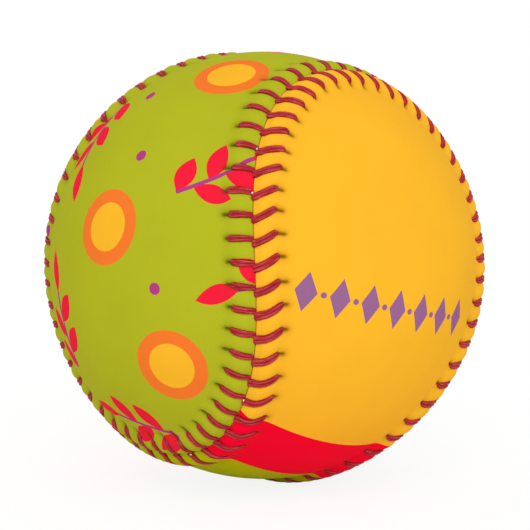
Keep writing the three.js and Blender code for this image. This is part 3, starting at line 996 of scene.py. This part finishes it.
# Matt finishes of the hidden layers: a mottled colour and a fine relief of one grain size
def matt(name, low, high, grain_mm, relief_mm, roughness, stretch=(1, 1, 1)):
    material, tree = new_material(name)
    places = add(tree, "ShaderNodeTexCoord").outputs["Object"]
    mapped = add(tree, "ShaderNodeMapping", {"Vector": places, "Scale": stretch})
    grain = add(tree, "ShaderNodeTexNoise", {
        "Vector": mapped.outputs["Vector"], "Scale": 1 / (grain_mm * MM), "Detail": 4,
    })
    colour = painted(tree, srgb(low), grain.outputs["Fac"], srgb(high))
    finish_surface(
        tree, colour, roughness=roughness, specular=0.3, height=grain.outputs["Fac"],
        strength=0.5, relief_mm=relief_mm
    )
    return material


def finish_nodes():
    cork = matt("pressed_cork_composition", "#7A5230", "#B98A57", 1.6, 0.4, 0.9)
    black = matt("moulded_black_rubber", "#141416", "#26262A", 0.8, 0.05, 0.6)
    red = matt("moulded_red_rubber", "#8E231E", "#B8352F", 0.8, 0.05, 0.55)
    grey = matt("grey_wool_yarn", "#7A7975", "#A3A19C", 1.1, 0.6, 0.95, (1, 4, 1))
    white = matt("white_wool_yarn", "#D8D2C4", "#F2EEE4", 0.9, 0.5, 0.95, (4, 1, 1))
    cotton = matt("white_cotton_finishing_yarn", "#E2DFD4", "#F7F5EF", 0.6, 0.3, 0.9, (1, 1, 4))
    finishes = {
        "cork_core": cork,
        "black_rubber_shell_upper": black,
        "black_rubber_shell_lower": black,
        "red_rubber_washer": red,
        "red_rubber_shell_upper": red,
        "red_rubber_shell_lower": red,
        "winding_1_grey": grey,
        "winding_2_white": white,
        "winding_3_grey": grey,
        "winding_4_finish": cotton,
    }
    for node, material in finishes.items():
        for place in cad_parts[node].material_slots:
            place.material = material


# The ways of a cover from the ball's middle: to the middle of a lobe, to the middle of its neck,
# and to the side of both
def cover_ways(side):
    neck = BALL_TURN @ np.array([0, 0, -side], dtype=float)
    long_way = BALL_TURN @ (np.array([1, -side, 0]) / math.sqrt(2))
    return long_way, neck, np.cross(neck, long_way)


# The direction of a place on a cover, by degrees round from its neck and to the side
def on_cover(ways, round_angle, side_angle):
    long_way, neck, side_way = ways
    turn, lean = math.radians(round_angle), math.radians(side_angle)
    middle = neck * math.cos(turn) + long_way * math.sin(turn)
    return middle * math.cos(lean) + side_way * math.sin(lean)


# Each motif of the green cover in degrees: how far round from the neck, how far to the side, and
# its heading. Each is there twice, once on either lobe, but for the one at the neck.
GREEN_MOTIFS = [
    (SPRIG, 0, 0, 20), (DOT, 22, -9, 0), (DISC, 36, 9, 0), (DOT, 50, -9, 0),
    (SPRIG, 66, -22, 185), (SPRIG, 67, 31, -40), (DISC, 90, 2, 0), (DOT, 94, -40, 0),
    (DOT, 70, 5, 0), (DOT, 104, 20, 0), (SPRIG, 100, 49, 100), (SPRIG, 118, -20, 10),
    (DISC, 126, 22, 0), (SPRIG, 146, 0, 80),
]

# How far each kind of motif reaches, in millimetres: along its length and round it
REACH = {SPRIG: (9.0, 6.2), DISC: (0.0, 7.2), DOT: (0.0, 2.4), DIAMONDS: (22.0, 5.0)}


def green_motifs():
    ways = cover_ways(GREEN_SIDE)
    motifs = []
    for kind, round_angle, side_angle, heading in GREEN_MOTIFS:
        for mirrored in (1, -1):
            if round_angle == 0 and mirrored < 0:
                continue
            out = on_cover(ways, mirrored * round_angle, mirrored * side_angle)
            onward = on_cover(ways, mirrored * round_angle + 1, mirrored * side_angle) - out
            onward = unit(onward - out * (onward @ out))
            turn = math.radians(heading)
            ahead = onward * math.cos(turn) + np.cross(out, onward) * math.sin(turn)
            motifs.append(Motif(kind, out, ahead, *REACH[kind]))
    return motifs


# The direction of the middle of the row of diamonds on the yellow cover, and the way that it runs
DIAMONDS_OUT = (0.592, -0.801, -0.085)
DIAMONDS_AHEAD = (0.777, 0.736, -0.233)


def yellow_motifs():
    return [Motif(DIAMONDS, DIAMONDS_OUT, DIAMONDS_AHEAD, *REACH[DIAMONDS])]


# Pieces

cover_green = make_cover("cover_leather_green", GREEN_SIDE, 0)
cover_yellow = make_cover("cover_leather_yellow", YELLOW_SIDE, STITCHES // 4)
strand_a = make_strand("lacing_strand_a", YELLOW_SIDE)
strand_b = make_strand("lacing_strand_b", GREEN_SIDE)

lay_print(cover_green, green_motifs())
lay_print(cover_yellow, yellow_motifs())

# Each new piece: the node that it replaces, its slot and its material
thread = waxed_thread()
PIECES = [
    (cover_green, "cover_green", "green_leather", green_leather()),
    (cover_yellow, "cover_yellow", "yellow_leather", yellow_leather()),
    (strand_a, "stitch_thread_a", "waxed_thread", thread),
    (strand_b, "stitch_thread_b", "waxed_thread", thread),
]
for piece, node, slot, material in PIECES:
    piece.data.materials.append(material)
    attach(piece, "root")
    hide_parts(node)
finish_nodes()


# Camera: as high as the photograph's, and far enough away for its slight perspective. The ball's
# smooth silhouette has this radius and centre in the square frame, in pixels.

CAMERA_RISE = 8.0
CAMERA_RADII_AWAY = 12.559
SILHOUETTE_PX = 213.7
FRAME_PX = 530
CENTRE_PX = (263.08, 265.25)
SENSOR_MM = 36


def make_camera():
    data = bpy.data.cameras.new("camera")
    camera = bpy.data.objects.new("camera", data)
    bpy.context.scene.collection.objects.link(camera)
    rise = math.radians(CAMERA_RISE)
    toward = Vector((0, -math.cos(rise), math.sin(rise)))
    camera.location = toward * CAMERA_RADII_AWAY * COVER_RADIUS * MM
    camera.rotation_euler = (-toward).to_track_quat("-Z", "Y").to_euler()
    lens_px = SILHOUETTE_PX * math.sqrt(CAMERA_RADII_AWAY ** 2 - 1)
    data.sensor_width = SENSOR_MM
    data.lens = lens_px / FRAME_PX * SENSOR_MM
    data.shift_x = (FRAME_PX / 2 - CENTRE_PX[0]) / FRAME_PX
    data.shift_y = (CENTRE_PX[1] - FRAME_PX / 2) / FRAME_PX
    data.clip_start = 0.01
    bpy.context.scene.camera = camera


make_camera()


# Studio: a white floor, an even white surround and a soft lamp from above the camera. What the
# camera sees of the floor and the surround is brighter than the light they give.

WHITE = (1, 1, 1, 1)
PAPER = (0.95, 0.95, 0.95, 1)
FLOOR_HALF_SIZE = 4
FLOOR_GLOW = 1.04
FLOOR_GLOW_SHARE = 0.84
FILL_LIGHT = 0.68
LAMP_LIGHT = 1.12
LAMP_SPREAD = 40
LAMP_TOWARD = (0.04, -0.81, 0.585)


def seen_directly(tree):
    path = add(tree, "ShaderNodeLightPath")
    seen = math_of(tree, "MAXIMUM", path.outputs["Is Camera Ray"], path.outputs["Is Glossy Ray"])
    return math_of(tree, "MAXIMUM", seen, path.outputs["Is Transmission Ray"])


def make_floor():
    bm = bmesh.new()
    bmesh.ops.create_grid(bm, x_segments=1, y_segments=1, size=FLOOR_HALF_SIZE)
    bmesh.ops.translate(bm, verts=bm.verts, vec=(0, 0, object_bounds()[0].z))
    floor = new_object("studio_floor", bm)
    material, tree = new_material("white_paper_floor")
    paper = add(tree, "ShaderNodeBsdfDiffuse", {"Color": PAPER})
    lit = add(tree, "ShaderNodeEmission", {"Color": WHITE, "Strength": FLOOR_GLOW})
    share = math_of(tree, "MULTIPLY", seen_directly(tree), FLOOR_GLOW_SHARE)
    mix = add(tree, "ShaderNodeMixShader", {0: share, 1: paper.outputs[0], 2: lit.outputs[0]})
    close_material(tree, mix.outputs[0])
    floor.data.materials.append(material)


def make_world():
    world = bpy.data.worlds.new("studio")
    world.use_nodes = True
    tree = world.node_tree
    tree.nodes.clear()
    fill = add(tree, "ShaderNodeBackground", {"Color": WHITE, "Strength": FILL_LIGHT})
    white = add(tree, "ShaderNodeBackground", {"Color": WHITE, "Strength": 1.0})
    mix = add(tree, "ShaderNodeMixShader", {
        0: seen_directly(tree), 1: fill.outputs[0], 2: white.outputs[0],
    })
    add(tree, "ShaderNodeOutputWorld", {"Surface": mix.outputs[0]})
    bpy.context.scene.world = world


def make_lamp():
    data = bpy.data.lights.new("soft_key", "SUN")
    data.energy = LAMP_LIGHT
    data.angle = math.radians(LAMP_SPREAD)
    lamp = bpy.data.objects.new("soft_key", data)
    toward = Vector(LAMP_TOWARD)
    lamp.rotation_euler = (-toward).to_track_quat("-Z", "Y").to_euler()
    bpy.context.scene.collection.objects.link(lamp)


make_floor()
make_world()
make_lamp()
bpy.context.scene.view_settings.view_transform = "Standard"
